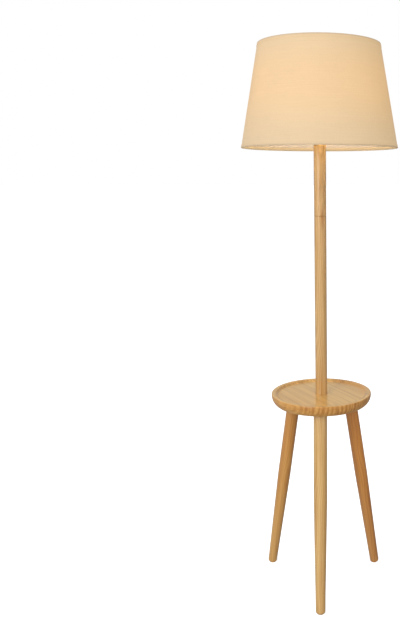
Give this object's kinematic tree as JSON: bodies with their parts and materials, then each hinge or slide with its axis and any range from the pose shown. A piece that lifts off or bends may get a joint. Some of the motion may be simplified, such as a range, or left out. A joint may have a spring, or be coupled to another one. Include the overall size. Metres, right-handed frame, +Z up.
{
  "type": "floor lamp with table",
  "caption": "Floor lamp with a tapered fabric drum shade on a wooden pole, which stands on a round dished tray table with splayed wooden legs.",
  "frame": {"origin": "on the floor, on the pole's axis", "axes": "+Z up along the pole; the front leg points to -Y, one arm of the shade's carrier to +Y"},
  "size_m": [0.4394, 0.4394, 1.6],
  "materials": {
    "tray_wood": "light hardwood under satin clear lacquer",
    "leg_wood": "light hardwood under satin clear lacquer",
    "pole_wood": "light hardwood under satin clear lacquer",
    "zinc_steel": "zinc plated, satin",
    "brass": "plain brass, slightly dulled",
    "gland_plastic": "moulded, fine matt",
    "holder_plastic": "moulded, half gloss",
    "holder_ceramic": "unglazed porcelain",
    "frame_paint": "white powder coat",
    "liner_film": "white translucent film",
    "shade_fabric": "plain linen weave, off-white",
    "hem_fabric": "plain linen tape, off-white",
    "globe_plastic": "opal, satin",
    "housing_plastic": "moulded, half gloss",
    "board_metal": "white solder mask on aluminium",
    "chip_phosphor": "yellow phosphor",
    "driver_board": "green solder mask",
    "cap_metal": "rolled, satin",
    "black_glass": "black vitrite",
    "tip_solder": "dull solder"
  },
  "bodies": {
    "stand": {"tray_top": "tray_wood", "leg_front": "leg_wood", "leg_right": "leg_wood", "leg_left": "leg_wood", "leg_bolts": "zinc_steel", "leg_inserts": "brass", "lower_pole": "pole_wood", "upper_pole": "pole_wood", "pole_foot_insert": "brass", "lower_joint_insert": "brass", "upper_joint_insert": "brass", "pole_top_insert": "brass", "pole_joiner": "zinc_steel", "base_tube": "zinc_steel", "base_washer": "zinc_steel", "base_nut": "zinc_steel", "cord_gland": "gland_plastic", "holder_tube": "zinc_steel", "seat_washer": "zinc_steel", "holder_cap": "holder_plastic", "holder_core": "holder_ceramic", "screw_shell": "brass", "centre_contact": "brass", "terminal_screws": "brass", "holder_skirt": "holder_plastic", "lower_shade_ring": "holder_plastic", "upper_shade_ring": "holder_plastic"},
    "shade": {"carrier_ring": "frame_paint", "carrier_arms": "frame_paint", "shade_bottom_wire": "frame_paint", "shade_top_wire": "frame_paint", "shade_liner": "liner_film", "shade_fabric": "shade_fabric", "shade_bottom_hem": "hem_fabric", "shade_top_hem": "hem_fabric", "shade_seam": "hem_fabric"},
    "bulb_core": {"bulb_insulator": "black_glass", "bulb_contact": "tip_solder"},
    "bulb": {"bulb_globe": "globe_plastic", "bulb_housing": "housing_plastic", "led_board": "board_metal", "led_chips": "chip_phosphor", "bulb_driver": "driver_board", "bulb_cap": "cap_metal"}
  },
  "joints": [
    {"name": "shade_turn", "type": "hinge", "parent": "stand", "child": "shade", "pos_m": [0, 0, 1.3818], "axis": [0, 0, 1], "continuous": true},
    {"name": "bulb_travel", "type": "slide", "parent": "stand", "child": "bulb_core", "axis": [0, 0, 1], "range_m": [0, 0.0146]},
    {"name": "bulb_turn", "type": "hinge", "parent": "bulb_core", "child": "bulb", "pos_m": [0, 0, 1.4], "axis": [0, 0, 1], "range_deg": [0, 1440]}
  ],
  "couplings": [
    {"joint": "bulb_travel", "follows": "bulb_turn", "m_per_rad": 0.00057757}
  ]
}
